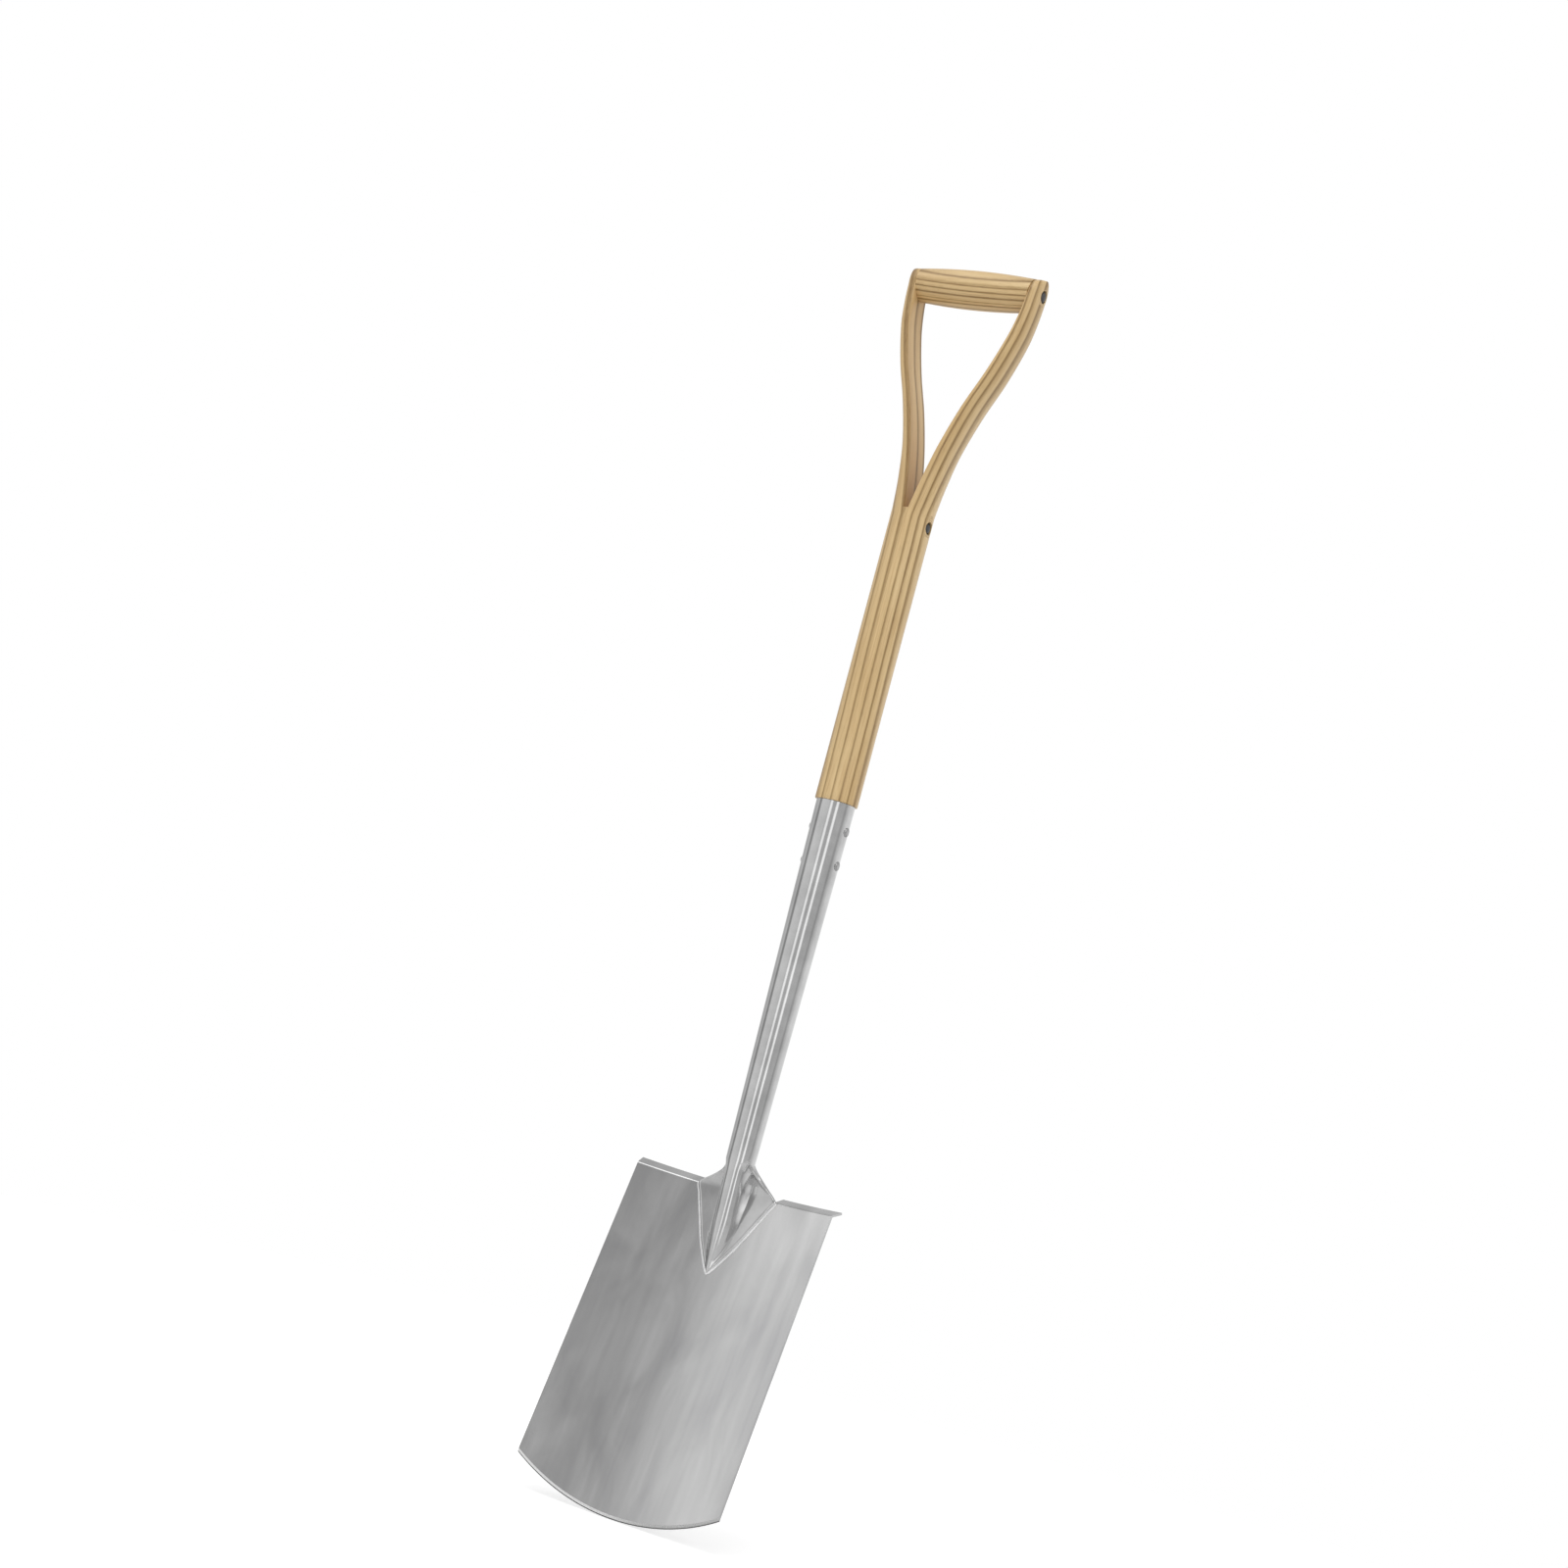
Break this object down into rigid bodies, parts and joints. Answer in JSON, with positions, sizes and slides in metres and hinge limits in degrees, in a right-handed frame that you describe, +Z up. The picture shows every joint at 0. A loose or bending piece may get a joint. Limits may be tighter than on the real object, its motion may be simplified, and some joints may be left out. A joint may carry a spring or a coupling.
{
  "type": "garden spade",
  "caption": "Digging spade: dished rectangular steel blade with folded treads, tapered steel socket ending in a V, and a split ash Y handle with a turned cross grip.",
  "frame": {"origin": "under the middle of the bounding box, at the height of the lowest point of the cutting edge", "axes": "+Z up along the handle's shaft from the cutting edge to the grip, +X across the blade and along the grip, -Y out of the hollow front of the blade"},
  "size_m": [0.1952, 0.093, 1.1056],
  "materials": {
    "blade_steel": "brushed lengthwise, satin",
    "socket_steel": "polished, nearly mirror bright",
    "ash_wood": "straight-grained ash under satin lacquer",
    "grip_wood": "turned ash under satin lacquer",
    "rivet_steel": "hammered dome, slightly dulled",
    "washer_steel": "stamped"
  },
  "bodies": {
    "root": {"blade": "blade_steel", "socket": "socket_steel", "handle_shaft": "ash_wood", "grip": "grip_wood", "grip_rivet": "rivet_steel", "crotch_rivet": "rivet_steel", "grip_washer_left": "washer_steel", "grip_washer_right": "washer_steel", "crotch_washer_left": "washer_steel", "crotch_washer_right": "washer_steel", "socket_rivet_upper": "rivet_steel", "socket_rivet_lower": "rivet_steel"}
  },
  "joints": []
}
